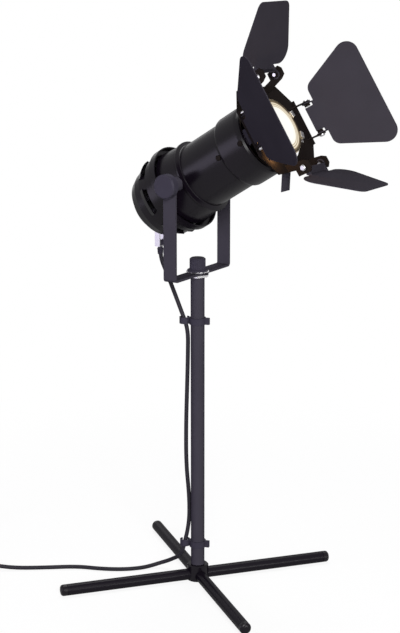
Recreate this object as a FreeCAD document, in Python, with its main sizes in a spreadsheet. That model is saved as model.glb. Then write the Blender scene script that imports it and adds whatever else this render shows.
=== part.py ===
import FreeCAD, Part
import Sketcher
import math
import os
from FreeCAD import Placement, Rotation, Vector

# A small searchlight on a post: a cross of four round legs, a pole, a U yoke that pans on the pole,
# a tilting lamp head with a stepped and louvred rear housing, and a barn-door frame with four leaves.
# All lengths are in millimetres, all angles in degrees. +Z is up, the origin is on the pole's axis
# in the plane that the legs rest on, and the head faces +X.

DIMENSIONS = (
    # base and pole
    ("leg_radius", 5), ("leg_wall", 1.2), ("leg_reach", 125.3), ("leg_turn", 51.07), ("leg_root", 7),
    ("cap_length", 6), ("cap_plug", 8), ("cap_seam", 0.5), ("fit_gap", 0.03),
    ("hub_radius", 9.5), ("hub_height", 14.4), ("hub_chamfer", 1),
    ("pole_radius", 6), ("pole_wall", 1.2), ("pole_top", 273.2), ("pole_seat", 8),
    ("foot_bore", 3), ("foot_recess_radius", 4.6), ("foot_recess", 4), ("foot_head_gap", 0.4),
    ("foot_reach", 12), ("insert_length", 13),
    ("stud_radius", 3), ("stud_reach", 17.2),
    # what sits on the pole, from the bottom up
    ("ring_height", 1.8), ("jam_corner", 10.7), ("jam_height", 1.8), ("yoke_thickness", 2),
    ("washer_radius", 8.6), ("washer_tooth", 1.2), ("washer_height", 0.8), ("washer_teeth", 16),
    ("finial_radius", 6.85), ("finial_flare", 8.9), ("finial_height", 11.4), ("finial_flare_height", 2.2),
    ("finial_ribs", 24), ("finial_rib_depth", 0.35), ("turn_gap", 0.1),
    # yoke
    ("head_clearance", 67), ("head_tilt", 31.8), ("yoke_width", 12), ("boss_length", 10), ("yoke_bend", 3),
    ("boss_radius", 6), ("tilt_stud_radius", 2.5), ("knob_radius", 10), ("knob_depth", 8),
    ("knob_washer_radius", 5.5), ("knob_washer", 0.5),
    # lamp can, along the optical axis from the tilt axis
    ("can_wall", 1), ("can_radius", 28.7), ("can_front", 50), ("flare_rear", 16), ("flare_radius", 33),
    ("flare_front_radius", 31), ("bead_station", 5), ("bead_radius", 32.3), ("bead_half", 2),
    ("collar_rear", 47.6), ("collar_front", 75), ("collar_step", 2.5), ("collar_wall", 1.2),
    ("collar_soft", 2.4), ("can_screw_station", 45.2), ("collar_screw_station", 70.9),
    ("can_screw_radius", 2.3), ("can_screw_head", 1.5), ("can_screw_shank", 1.2),
    ("can_screw_length", 5.6),
    ("bulkhead_station", 13), ("bulkhead_thickness", 1.2), ("bulkhead_hole", 8),
    # rear housing, stations behind the tilt axis
    ("shell_wall", 1), ("rim_station", 14), ("rim_radius", 37.5), ("rim_length", 6), ("ring_step", 3),
    ("ring_length", 8), ("vent_step", 1.5), ("vent_length", 9), ("cap_step", 2), ("waist_length", 8),
    ("waist_step", 1), ("shoulder_length", 7), ("shoulder_step", 3.5), ("edge_length", 5),
    ("edge_step", 6.5), ("back_length", 2), ("back_step", 8), ("step_slope", 0.8),
    ("vent_count", 6), ("vent_angle", 40), ("vent_cheek", 1.75), ("vent_margin", 1.5), ("vent_mouth", 3),
    ("vent_rest", 0.2), ("vent_lift", 2.4), ("vent_wall", 0.8),
    ("post_radius", 3), ("post_circle", 9), ("post_count", 3), ("post_bore", 1.3),
    # lamp, its holder and its bracket
    ("lamp_rear", 40), ("lamp_front", 94.2), ("lamp_clearance", 3.7), ("lamp_base_radius", 9),
    ("lamp_base_length", 7), ("lamp_glass_edge", 2.4), ("lamp_glass_depth", 2),
    ("pin_spacing", 10), ("pin_radius", 2.3), ("pin_neck_radius", 1.5), ("pin_length", 6.5),
    ("holder_radius", 13.5), ("holder_length", 12), ("holder_hole", 2.6), ("bracket_thickness", 1),
    ("bracket_width", 10), ("bracket_reach", 8),
    # barn-door frame
    ("plate_station", 88), ("plate_thickness", 1), ("plate_side_half", 43.5), ("plate_side_flat", 20),
    ("plate_end_half", 37.5), ("plate_end_flat", 29), ("plate_hole", 28.5), ("flange_rise", 3.2),
    ("strap_width", 13), ("strap_middle", 1.5), ("strap_seat", 36),
    ("strap_thickness", 1), ("strap_drop", 0.2), ("strap_rear", 64),
    ("latch_width", 13), ("latch_thickness", 0.8),
    ("ear_plane", 14.2), ("ear_thickness", 1), ("ear_radius", 3.9), ("ear_gap", 0.1),
    ("side_axis_offset", 49.6), ("side_axis_station", 97.3),
    ("end_axis_offset", 40.6), ("end_axis_station", 103),
    ("hinge_screw_radius", 1.4), ("hinge_hole_gap", 0.1), ("hinge_head_radius", 2.5), ("hinge_head", 1.6),
    ("hinge_nut_corner", 2.9), ("hinge_nut", 2),
    # leaves
    ("leaf_thickness", 0.8), ("leaf_ear", 0.8),
    ("side_lift", 1.6), ("side_neck", 3), ("side_shoulder", 6), ("side_shoulder_half", 26.85), ("side_length", 58),
    ("side_free_half", 51.75), ("side_shoulder_round", 8), ("side_free_round", 10),
    ("end_lift", 4.5), ("end_neck", 3.2), ("end_fold", 1.5), ("end_shoulder", 7.4), ("end_shoulder_half", 39.5),
    ("end_length", 59.2), ("end_free_half", 22.75), ("end_shoulder_round", 12), ("end_free_round", 7),
    ("left_leaf_open", 28), ("right_leaf_open", 37), ("top_leaf_open", 47), ("bottom_leaf_open", 40),
    # lead and what holds it
    ("cord_radius", 1.8), ("clip_drop", 40.2), ("clip_lower", 30.5), ("clip_height", 5.7),
    ("clip_wall", 1.2), ("clip_turn", 197), ("hook_centre", 11.6), ("hook_inner", 3.55), ("hook_wall", 0.9),
    ("hook_mouth", 2.6), ("lug_reach", 10.5), ("lug_width", 3),
    ("gland_station", 58), ("gland_drop", 21.5), ("strap_leg", 3.8), ("strap_depth", 5),
    ("strap_fall", 12), ("bush_radius", 2.9), ("bush_length", 7), ("bush_below", 2),
)
NAMES = set(name for name, value in DIMENSIONS)
# What follows from those sizes: the tilt axis stands clear of the finial, the arms clear of the can, each
# step of the housing starts where the one before it ends, the straps reach inside the collar, and the lamp
# stands clear of the can.
FOLLOWING = {
    "stud_foot": "pole_top - stud_reach",
    "clip_upper": "pole_top - clip_drop",
    "tilt_height": "pole_top + ring_height + jam_height + yoke_thickness + washer_height + finial_height"
                   " + head_clearance",
    "collar_radius": "can_radius + collar_step",
    "ring_radius": "rim_radius - ring_step",
    "vent_radius": "ring_radius - vent_step",
    "cap_radius": "vent_radius - cap_step",
    "cap_waist_radius": "cap_radius - waist_step",
    "cap_shoulder_radius": "cap_waist_radius - shoulder_step",
    "cap_edge_radius": "cap_shoulder_radius - edge_step",
    "cap_back_radius": "cap_edge_radius - back_step",
    "step_one": "rim_station + rim_length",
    "step_two": "step_one + ring_length",
    "step_three": "step_two + vent_length",
    "cap_waist": "step_three + waist_length",
    "cap_shoulder": "cap_waist + shoulder_length",
    "cap_edge": "cap_shoulder + edge_length",
    "cap_back": "cap_edge + back_length",
    "vent_front": "step_two + vent_margin",
    "vent_lip": "vent_front + vent_mouth",
    "vent_root": "step_three - vent_rest",
    "lamp_radius": "can_radius - lamp_clearance",
    "lamp_glass_radius": "lamp_radius - lamp_glass_edge",
    "strap_inner": "collar_radius - can_screw_length + strap_thickness",
    "strap_outer": "collar_radius - strap_drop",
    "yoke_span": "2 * ( flare_front_radius + boss_length + yoke_thickness )",
}

doc = FreeCAD.newDocument("searchlight")
sheet = doc.addObject("Spreadsheet::Sheet", "sheet")
for row, (name, value) in enumerate(DIMENSIONS, start=1):
    sheet.set("A%d" % row, name)
    sheet.set("B%d" % row, str(value))
    sheet.setAlias("B%d" % row, name)
trial = doc.addObject("Spreadsheet::Sheet", "trial")
doc.recompute()
parts = []


def bound(formula):
    """The formula as the document's other objects write it, with each name led by its sheet."""
    words = formula.replace("(", "( ").replace(")", " )").split()
    while any(word in FOLLOWING for word in words):
        words = [part for word in words
                 for part in ("( " + FOLLOWING[word] + " )" if word in FOLLOWING else word).split()]
    return " ".join("sheet." + word if word in NAMES else word for word in words)


def size(formula):
    """The number that a formula of sheet names gives at the moment."""
    trial.set("A1", "=" + bound(formula))
    trial.recompute()
    return float(trial.get("A1"))


def new_body(label):
    body = doc.addObject("PartDesign::Body", label)
    body.Label = label
    return body


def draw(body, plane, shapes, offset="0"):
    """A fully bound sketch: each shape is a closed list of corners, or a circle as (x, y, radius)."""
    sketch = body.newObject("Sketcher::SketchObject", body.Label + "_sketch")
    support = [item for item in body.Origin.OriginFeatures if item.Role == plane][0]
    sketch.AttachmentSupport = [(support, "")]
    sketch.MapMode = "FlatFace"
    sketch.setExpression("AttachmentOffset.Base.z", bound(offset))

    def hold(kind, index, vertex, formula, value):
        number = sketch.addConstraint(Sketcher.Constraint(kind, -1, 1, index, vertex, value))
        sketch.setExpression("Constraints[%d]" % number, bound(formula))

    for shape in shapes:
        first = sketch.GeometryCount
        if isinstance(shape, tuple):
            x, y, radius = (size(formula) for formula in shape)
            sketch.addGeometry(Part.Circle(Vector(x, y, 0), Vector(0, 0, 1), radius))
            number = sketch.addConstraint(Sketcher.Constraint("Radius", first, radius))
            sketch.setExpression("Constraints[%d]" % number, bound(shape[2]))
            hold("DistanceX", first, 3, shape[0], x)
            hold("DistanceY", first, 3, shape[1], y)
            continue
        corners = [Vector(size(x), size(y), 0) for x, y in shape]
        count = len(corners)
        for index in range(count):
            sketch.addGeometry(Part.LineSegment(corners[index], corners[(index + 1) % count]))
        for index in range(count):
            after = first + (index + 1) % count
            sketch.addConstraint(Sketcher.Constraint("Coincident", first + index, 2, after, 1))
        for index, (x, y) in enumerate(shape):
            hold("DistanceX", first + index, 1, x, corners[index].x)
            hold("DistanceY", first + index, 1, y, corners[index].y)
    return sketch


def pad(body, plane, shapes, length, offset="0"):
    """Extrude along the plane's own normal: +Z, +X or -Y."""
    feature = body.newObject("PartDesign::Pad", body.Label + "_pad")
    feature.Profile = draw(body, plane, shapes, offset)
    feature.setExpression("Length", bound(length))
    return feature


def pocket(body, plane, shapes, through="4 * pole_top", offset="0"):
    """Cut both ways from the plane, in all as far as the given length."""
    feature = body.newObject("PartDesign::Pocket", body.Label + "_pocket")
    feature.Profile = draw(body, plane, shapes, offset)
    feature.Midplane = True
    feature.setExpression("Length", bound(through))
    return feature


def revolve(body, kind, axis, profile, angle=None, plane="XZ_Plane"):
    """Turn a profile about X (H_Axis) or Z (V_Axis); a part turn is centred on the profile's plane."""
    feature = body.newObject("PartDesign::" + kind, body.Label + "_turn")
    sketch = draw(body, plane, [profile])
    feature.Profile = sketch
    feature.ReferenceAxis = (sketch, [axis])
    feature.Angle = 360
    if angle:
        feature.Midplane = True
        feature.setExpression("Angle", bound(angle))
    return feature


def pattern(body, originals, axis, count):
    """Repeat features about one of the body's own axes."""
    doc.recompute()
    feature = body.newObject("PartDesign::PolarPattern", body.Label + "_pattern")
    feature.Originals = originals
    line = [item for item in body.Origin.OriginFeatures if item.Role == axis][0]
    feature.Axis = (line, [""])
    feature.Angle = 360
    feature.setExpression("Occurrences", bound(count))
    body.Tip = feature
    return feature


def fillet(body, radius, chosen):
    """Round those edges of the body so far that the test picks."""
    doc.recompute()
    base = body.Tip
    names = ["Edge%d" % number for number, edge in enumerate(base.Shape.Edges, start=1) if chosen(edge)]
    feature = body.newObject("PartDesign::Fillet", body.Label + "_fillet")
    feature.Base = (base, names)
    feature.setExpression("Radius", bound(radius))
    return feature


def runs_along(edge, direction):
    """True for a straight edge that runs along a direction."""
    if edge.Curve.TypeId != "Part::GeomLine":
        return False
    return abs(abs(edge.Curve.Direction.dot(direction)) - 1) < 1e-6


def turned(label, axis, profile):
    body = new_body(label)
    revolve(body, "Revolution", axis, profile)
    return body


def keep(item):
    parts.append(item)
    return item


def on_head(body):
    """Carry a piece drawn along the optical axis to the tilt axis, and raise its front."""
    body.Placement = Placement(Vector(0, 0, 1), Rotation(Vector(0, 1, 0), -1))
    body.setExpression("Placement.Base.z", bound("tilt_height"))
    body.setExpression("Placement.Rotation.Angle", bound("-1 * head_tilt"))
    return keep(body)


def repeated(label, source, places):
    """One node of separate, equal solids."""
    doc.recompute()
    shape = source.Shape.copy()
    shape.Placement = Placement()
    group = doc.addObject("Part::Feature", label)
    group.Label = label
    group.Shape = Part.makeCompound([shape.transformed(place.toMatrix()) for place in places])
    return keep(group)


def ring(inner, outer, low, high):
    """Profile of a plain washer or tube about Z."""
    return [(inner, low), (outer, low), (outer, high), (inner, high)]


# ---- base: hub, four legs, end caps
turned("base_hub", "V_Axis", [
    ("foot_recess_radius", "0"), ("hub_radius", "0"), ("hub_radius", "hub_height - hub_chamfer"),
    ("hub_radius - hub_chamfer", "hub_height"), ("pole_radius + fit_gap", "hub_height"),
    ("pole_radius + fit_gap", "hub_height - pole_seat"), ("foot_bore", "hub_height - pole_seat"),
    ("foot_bore", "foot_recess"), ("foot_recess_radius", "foot_recess")])
keep(doc.getObject("base_hub"))

leg_names = ("leg_left_front", "leg_left_rear", "leg_right_rear", "leg_right_front")
for number, label in enumerate(leg_names):
    leg = new_body(label)
    pad(leg, "YZ_Plane", [("0", "leg_radius", "leg_radius"), ("0", "leg_radius", "leg_radius - leg_wall")],
        "leg_reach - cap_length - leg_root", "leg_root")
    pocket(leg, "XY_Plane", [("0", "0", "hub_radius")])
    leg.Placement = Placement(Vector(), Rotation(Vector(0, 0, 1), 1))
    leg.setExpression("Placement.Rotation.Angle", bound("leg_turn + %d" % (90 * number)))
    keep(leg)

cap = turned("leg_cap", "H_Axis", [
    ("-1 * cap_plug", "0"), ("-1 * cap_plug", "leg_radius - leg_wall - fit_gap"),
    ("0", "leg_radius - leg_wall - fit_gap"), ("0", "leg_radius - cap_seam"),
    ("cap_seam", "leg_radius - cap_seam"), ("cap_seam", "leg_radius"),
    ("0.62 * cap_length", "leg_radius"), ("0.82 * cap_length", "0.9 * leg_radius"),
    ("0.94 * cap_length", "0.7 * leg_radius"), ("cap_length", "0.42 * leg_radius"), ("cap_length", "0")])
cap_seat = Vector(size("leg_reach - cap_length"), 0, size("leg_radius"))
leg_turns = [Rotation(Vector(0, 0, 1), size("leg_turn") + 90 * number) for number in range(4)]
repeated("leg_end_caps", cap, [Placement(turn.multVec(cap_seat), turn) for turn in leg_turns])

# ---- pole: tube, threaded inserts, foot screw and top stud
keep(turned("pole_tube", "V_Axis", ring(
    "pole_radius - pole_wall", "pole_radius", "hub_height - pole_seat", "pole_top")))
insert = turned("pole_insert", "V_Axis", ring(
    "stud_radius + fit_gap", "pole_radius - pole_wall - fit_gap", "0", "insert_length"))
repeated("pole_inserts", insert, [
    Placement(Vector(0, 0, size("hub_height - pole_seat")), Rotation()),
    Placement(Vector(0, 0, size("pole_top - insert_length")), Rotation())])
keep(turned("pole_foot_screw", "V_Axis", [
    ("0", "0"), ("foot_recess_radius - foot_head_gap", "0"),
    ("foot_recess_radius - foot_head_gap", "foot_recess"), ("foot_bore - fit_gap", "foot_recess"),
    ("foot_bore - fit_gap", "foot_recess + foot_reach"), ("0", "foot_recess + foot_reach")]))
jam_low = "pole_top + ring_height"
yoke_low = jam_low + " + jam_height"
washer_low = yoke_low + " + yoke_thickness"
finial_low = washer_low + " + washer_height"
keep(turned("pole_top_stud", "V_Axis", [
    ("0", "stud_foot"), ("stud_radius", "stud_foot"), ("stud_radius", finial_low + " + 0.7 * finial_height"),
    ("0", finial_low + " + 0.7 * finial_height")]))
keep(turned("pole_spacer_ring", "V_Axis", ring("stud_radius + fit_gap", "pole_radius", "pole_top", jam_low)))
jam = keep(new_body("yoke_jam_nut"))
hexagon = [("1", "0"), ("0.5", "0.866"), ("-0.5", "0.866"), ("-1", "0"), ("-0.5", "-0.866"), ("0.5", "-0.866")]
pad(jam, "XY_Plane", [[("%s * jam_corner" % x, "%s * jam_corner" % y) for x, y in hexagon],
                      ("0", "0", "stud_radius + fit_gap")], "jam_height", jam_low)

# ---- yoke: one flat bar bent to a U, its arms ending in half rounds about the tilt axis
yoke = keep(new_body("yoke_bracket"))
yoke_top = "tilt_height + 0.5 * yoke_width"
pad(yoke, "YZ_Plane", [[
    ("-0.5 * yoke_span", yoke_low), ("0.5 * yoke_span", yoke_low), ("0.5 * yoke_span", yoke_top),
    ("0.5 * yoke_span - yoke_thickness", yoke_top), ("0.5 * yoke_span - yoke_thickness", washer_low),
    ("yoke_thickness - 0.5 * yoke_span", washer_low), ("yoke_thickness - 0.5 * yoke_span", yoke_top),
    ("-0.5 * yoke_span", yoke_top)]], "yoke_width", "-0.5 * yoke_width")
fillet(yoke, "yoke_bend", lambda edge: runs_along(edge, Vector(1, 0, 0))
       and abs(edge.CenterOfMass.z - size(yoke_low)) < 0.01)
fillet(yoke, "yoke_bend - yoke_thickness", lambda edge: runs_along(edge, Vector(1, 0, 0))
       and abs(edge.CenterOfMass.z - size(washer_low)) < 0.01)
fillet(yoke, "0.49 * yoke_width", lambda edge: runs_along(edge, Vector(0, 1, 0))
       and abs(edge.CenterOfMass.z - size(yoke_top)) < 0.01)
pocket(yoke, "XY_Plane", [("0", "0", "stud_radius + turn_gap")], "4 * yoke_thickness", yoke_low)
pocket(yoke, "XZ_Plane", [("0", "tilt_height", "tilt_stud_radius + turn_gap")])

washer = keep(new_body("yoke_star_washer"))
pad(washer, "XY_Plane", [("0", "0", "washer_radius"), ("0", "0", "stud_radius + turn_gap")],
    "washer_height", washer_low)
tooth = pad(washer, "XY_Plane", [[
    ("washer_radius - 0.4", "-0.9"), ("washer_radius + washer_tooth", "-0.4"),
    ("washer_radius + washer_tooth", "0.7"), ("washer_radius - 0.4", "0.9")]], "washer_height", washer_low)
pattern(washer, [tooth], "Z_Axis", "washer_teeth")

finial = keep(new_body("yoke_finial_nut"))
finial_top = finial_low + " + finial_height"
revolve(finial, "Revolution", "V_Axis", [
    ("stud_radius + turn_gap", finial_low + " + turn_gap"), ("finial_flare", finial_low + " + turn_gap"),
    ("finial_flare", finial_low + " + 0.45 * finial_flare_height"),
    ("finial_radius", finial_low + " + finial_flare_height"), ("finial_radius", finial_top + " - 1"),
    ("finial_radius - 1.2", finial_top), ("0", finial_top),
    ("0", finial_low + " + 0.7 * finial_height + turn_gap"),
    ("stud_radius + turn_gap", finial_low + " + 0.7 * finial_height + turn_gap")])
rib = pocket(finial, "XY_Plane", [("finial_radius + 0.3", "0", "finial_rib_depth + 0.3")],
             "finial_height - finial_flare_height - 1.6", finial_low + " + 0.5 * finial_height + 0.8")
pattern(finial, [rib], "Z_Axis", "finial_ribs")

# ---- tilt pivots: boss, stud, washer and knob on each side
arm_inner = "0.5 * yoke_span - yoke_thickness"
boss = turned("tilt_boss", "V_Axis", ring(
    "tilt_stud_radius + fit_gap", "boss_radius", "flare_front_radius - 0.1", arm_inner + " - turn_gap"))
stud = turned("tilt_stud", "V_Axis", [
    ("0", "flare_front_radius - 4"), ("tilt_stud_radius + 2", "flare_front_radius - 4"),
    ("tilt_stud_radius + 2", "flare_front_radius - 2"), ("tilt_stud_radius", "flare_front_radius - 2"),
    ("tilt_stud_radius", "0.5 * yoke_span + 0.7 * knob_depth"), ("0", "0.5 * yoke_span + 0.7 * knob_depth")])
side_turns = (Rotation(Vector(1, 0, 0), -90), Rotation(Vector(1, 0, 0), 90))
pivot = Vector(0, 0, size("tilt_height"))
sides = [Placement(pivot, turn) for turn in side_turns]
bosses = repeated("tilt_bosses", boss, sides)
repeated("tilt_studs", stud, sides)
knob_face = "0.5 * yoke_span + turn_gap + knob_washer"
pressure = turned("knob_washer_ring", "V_Axis", ring(
    "tilt_stud_radius + turn_gap", "knob_washer_radius", "0.5 * yoke_span + 0.5 * turn_gap",
    "0.5 * yoke_span + 0.5 * turn_gap + knob_washer"))
repeated("tilt_knob_washers", pressure, sides)
for label, turn in zip(("tilt_knob_left", "tilt_knob_right"), side_turns):
    knob = turned(label, "V_Axis", [
        ("tilt_stud_radius + turn_gap", knob_face), ("knob_radius - 1.4", knob_face),
        ("knob_radius", knob_face + " + 0.8"), ("knob_radius", knob_face + " + knob_depth - 1"),
        ("knob_radius - 1", knob_face + " + knob_depth"), ("0", knob_face + " + knob_depth"),
        ("0", knob_face + " + 0.7 * knob_depth"),
        ("tilt_stud_radius + turn_gap", knob_face + " + 0.7 * knob_depth")])
    knob.Placement = Placement(pivot, turn)
    knob.setExpression("Placement.Base.z", bound("tilt_height"))
    keep(knob)

# ---- lamp can: flared rear, rolled bead, straight tube, and the collar over its front
can = new_body("lamp_can")
revolve(can, "Revolution", "H_Axis", [
    ("-1 * flare_rear", "flare_radius"), ("bead_station - bead_half", "flare_front_radius"),
    ("bead_station - 0.4 * bead_half", "bead_radius"), ("bead_station + 0.4 * bead_half", "bead_radius"),
    ("bead_station + bead_half", "can_radius + 0.6"), ("bead_station + bead_half + 0.5", "can_radius"),
    ("can_front", "can_radius"), ("can_front", "can_radius - can_wall"),
    ("bead_station + bead_half", "can_radius - can_wall"),
    ("bead_station + 0.4 * bead_half", "bead_radius - can_wall"),
    ("bead_station - 0.4 * bead_half", "bead_radius - can_wall"),
    ("bead_station - bead_half", "flare_front_radius - can_wall"),
    ("-1 * flare_rear", "flare_radius - can_wall")])
pocket(can, "XZ_Plane", [("can_screw_station", "0", "can_screw_shank + fit_gap"),
                         ("0", "0", "tilt_stud_radius + fit_gap")])
on_head(can)
doc.recompute()
# each boss is coped to sit on the flare and its bead
bosses.Shape = bosses.Shape.cut(can.Shape)

collar = new_body("front_collar")
revolve(collar, "Revolution", "H_Axis", [
    ("collar_rear", "can_radius + fit_gap"), ("collar_rear", "collar_radius - 1.6"),
    ("collar_rear + 0.4 * collar_soft", "collar_radius - 0.6"), ("collar_rear + collar_soft", "collar_radius - 0.1"),
    ("collar_rear + 2.6 * collar_soft", "collar_radius"), ("collar_front - 2 * collar_soft", "collar_radius"),
    ("collar_front - collar_soft", "collar_radius - 0.4"), ("collar_front - 0.3 * collar_soft", "collar_radius - 1.4"),
    ("collar_front", "collar_radius - 2.4"), ("collar_front", "collar_radius - 3.2"),
    ("collar_front - 0.7 * collar_soft", "collar_radius - collar_wall - 0.6"),
    ("collar_front - 2 * collar_soft", "collar_radius - collar_wall"),
    ("can_front + 1.5", "collar_radius - collar_wall"), ("can_front + 0.2", "can_radius + fit_gap")])
pocket(collar, "XZ_Plane", [("collar_screw_station", "0", "can_screw_shank + fit_gap")])
on_head(collar)

head = Placement(pivot, Rotation(Vector(0, 1, 0), -size("head_tilt")))


def beside_axis(station, radius, turn):
    """A place on the head at a distance from its axis, with +Z pointing away from that axis."""
    about = Rotation(Vector(1, 0, 0), turn)
    return head.multiply(Placement(about.multVec(Vector(station, 0, radius)), about))


def cap_screw(label, radius, depth, shank, length):
    """A pan-head screw that stands on its shoulder at z = 0, head up."""
    return turned(label, "V_Axis", [
        ("0", "-1 * (" + length + ")"), (shank, "-1 * (" + length + ")"), (shank, "0"), (radius, "0"),
        (radius, "0.55 * " + depth), ("0.72 * " + radius, depth), ("0", depth)])


screw = cap_screw("can_screw", "can_screw_radius", "can_screw_head", "can_screw_shank", "can_screw_length")
repeated("can_screws", screw, [
    beside_axis(size("can_screw_station"), size("can_radius"), 90),
    beside_axis(size("can_screw_station"), size("can_radius"), -90),
    beside_axis(size("collar_screw_station"), size("collar_radius"), 90),
    beside_axis(size("collar_screw_station"), size("collar_radius"), -90)])

bulkhead = new_body("can_bulkhead")
flare_inner = "flare_radius - can_wall - fit_gap"
revolve(bulkhead, "Revolution", "H_Axis", [
    ("-1 * bulkhead_station", "bulkhead_hole"), ("-1 * bulkhead_station", flare_inner + " - 0.34"),
    ("bulkhead_thickness - bulkhead_station", flare_inner + " - 0.47"),
    ("bulkhead_thickness - bulkhead_station", "bulkhead_hole")])
on_head(bulkhead)

# ---- rear housing: a thin shell in three steps and a domed cap, with louvres in its third ring that open forward
housing = new_body("rear_housing")
outer = [
    ("-1 * rim_station", "rim_radius"), ("-1 * step_one", "rim_radius"),
    ("-1 * step_one - step_slope", "ring_radius"), ("-1 * step_two", "ring_radius"),
    ("-1 * step_two - step_slope", "vent_radius"), ("-1 * step_three", "vent_radius"),
    ("-1 * step_three - step_slope", "cap_radius"), ("-1 * cap_waist", "cap_waist_radius"),
    ("-1 * cap_shoulder", "cap_shoulder_radius"), ("-1 * cap_edge", "cap_edge_radius"),
    ("-1 * cap_back", "cap_back_radius"), ("-1 * cap_back - 0.4", "0")]
inner = [
    ("shell_wall - cap_back - 0.4", "0"), ("shell_wall - cap_back", "cap_back_radius"),
    ("0.8 * shell_wall - cap_edge", "cap_edge_radius - 0.6 * shell_wall"),
    ("0.5 * shell_wall - cap_shoulder", "cap_shoulder_radius - 0.8 * shell_wall"),
    ("-1 * cap_waist", "cap_waist_radius - shell_wall"),
    ("shell_wall - step_three - step_slope", "cap_radius - shell_wall"),
    ("shell_wall - step_three", "vent_radius - shell_wall"),
    ("shell_wall - step_two - step_slope", "vent_radius - shell_wall"),
    ("shell_wall - step_two", "ring_radius - shell_wall"),
    ("shell_wall - step_one - step_slope", "ring_radius - shell_wall"),
    ("shell_wall - step_one", "rim_radius - shell_wall"),
    ("-1 * rim_station", "rim_radius - shell_wall")]
revolve(housing, "Revolution", "H_Axis", outer + inner)
hood = revolve(housing, "Revolution", "H_Axis", [
    ("-1 * vent_root", "vent_radius - 0.4"), ("-1 * vent_root", "vent_radius"),
    ("-1 * vent_lip", "vent_radius + vent_lift"), ("-1 * vent_lip", "vent_radius - 0.4")],
    "vent_angle", "XY_Plane")
vent_depth = "vent_radius - 2 * shell_wall"
slot = revolve(housing, "Groove", "H_Axis", [
    ("-1 * vent_front", vent_depth), ("-1 * vent_front", "vent_radius + vent_lift - vent_wall"),
    ("-1 * vent_lip", "vent_radius + vent_lift - vent_wall"), ("1.9 - vent_root", "vent_radius - 0.2"),
    ("1.9 - vent_root", vent_depth)], "vent_angle - 2 * vent_cheek", "XY_Plane")
pattern(housing, [hood, slot], "X_Axis", "vent_count")
on_head(housing)

post = turned("housing_post", "V_Axis", ring(
    "post_bore", "post_radius", "bulkhead_station", "cap_back - shell_wall"))
posts = int(size("post_count"))
post_turns = [360 * number / posts for number in range(posts)]


def behind(turn):
    """A place on a line parallel to the optical axis, with +Z pointing to the rear."""
    about = Rotation(Vector(1, 0, 0), turn)
    offset = about.multVec(Vector(0, 0, size("post_circle")))
    return head.multiply(Placement(offset, Rotation(Vector(0, 1, 0), -90)))


repeated("housing_posts", post, [behind(turn) for turn in post_turns])

# ---- lamp with its two pins, its holder, and the bracket that carries the holder
on_head(turned("lamp_reflector", "H_Axis", [
    ("lamp_rear", "0"), ("lamp_rear", "lamp_base_radius"), ("lamp_rear + lamp_base_length", "lamp_base_radius"),
    ("lamp_rear + lamp_base_length + 3", "lamp_base_radius + 2"), ("lamp_rear + 0.3 * ( lamp_front - lamp_rear )",
     "0.6 * lamp_radius"), ("lamp_rear + 0.45 * ( lamp_front - lamp_rear )", "0.8 * lamp_radius"),
    ("lamp_rear + 0.63 * ( lamp_front - lamp_rear )", "0.95 * lamp_radius"), ("lamp_front - 6", "0.98 * lamp_radius"),
    ("lamp_front - 5.6", "lamp_radius"), ("lamp_front - 0.8", "lamp_radius"), ("lamp_front", "lamp_radius - 0.8"),
    ("lamp_front", "lamp_glass_radius + fit_gap"),
    ("lamp_front - lamp_glass_depth", "lamp_glass_radius + fit_gap"),
    ("lamp_front - lamp_glass_depth", "lamp_glass_radius - 1"),
    ("lamp_rear + 0.7 * ( lamp_front - lamp_rear )", "0.82 * lamp_radius"),
    ("lamp_rear + 0.5 * ( lamp_front - lamp_rear )", "0.7 * lamp_radius"),
    ("lamp_rear + 0.34 * ( lamp_front - lamp_rear )", "0.44 * lamp_radius"),
    ("lamp_rear + 0.3 * ( lamp_front - lamp_rear )", "0")]))
on_head(turned("lamp_front_glass", "H_Axis", [
    ("lamp_front - lamp_glass_depth", "0"), ("lamp_front - lamp_glass_depth", "lamp_glass_radius"),
    ("lamp_front", "lamp_glass_radius"), ("lamp_front + 0.4", "0.6 * lamp_glass_radius"),
    ("lamp_front + 0.6", "0")]))
pin = turned("lamp_pin", "H_Axis", [
    ("lamp_rear", "0"), ("lamp_rear", "pin_neck_radius"), ("lamp_rear - pin_length + 2", "pin_neck_radius"),
    ("lamp_rear - pin_length + 2", "pin_radius"), ("lamp_rear - pin_length", "pin_radius"),
    ("lamp_rear - pin_length", "0")])
repeated("lamp_pins", pin, [head.multiply(Placement(Vector(0, side * size("0.5 * pin_spacing"), 0), Rotation()))
                            for side in (-1, 1)])
holder = new_body("lamp_holder")
revolve(holder, "Revolution", "H_Axis", [
    ("lamp_rear - bracket_thickness - holder_length", "0"),
    ("lamp_rear - bracket_thickness - holder_length", "0.7 * holder_radius"),
    ("lamp_rear - bracket_thickness - 0.6 * holder_length", "holder_radius"),
    ("lamp_rear - bracket_thickness", "holder_radius"), ("lamp_rear - bracket_thickness", "0")])
for side in ("0.5", "-0.5"):
    socket = holder.newObject("PartDesign::Pocket", "pin_socket")
    socket.Profile = draw(holder, "YZ_Plane", [(side + " * pin_spacing", "0", "holder_hole")],
                          "lamp_rear - bracket_thickness")
    socket.setExpression("Length", bound("pin_length + 0.5"))
on_head(holder)
bracket = new_body("holder_bracket")
web_front = "lamp_rear"
web_rear = "lamp_rear - bracket_thickness"
web_half = "can_radius - can_wall - fit_gap - 0.45"
pad(bracket, "XY_Plane", [[
    (web_rear, web_half), (web_rear, "-1 * ( " + web_half + " )"),
    (web_rear + " + bracket_reach", "-1 * ( " + web_half + " )"),
    (web_rear + " + bracket_reach", "bracket_thickness - ( " + web_half + " )"),
    (web_front, "bracket_thickness - ( " + web_half + " )"), (web_front, web_half + " - bracket_thickness"),
    (web_rear + " + bracket_reach", web_half + " - bracket_thickness"),
    (web_rear + " + bracket_reach", web_half)]], "bracket_width", "-0.5 * bracket_width")
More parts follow.
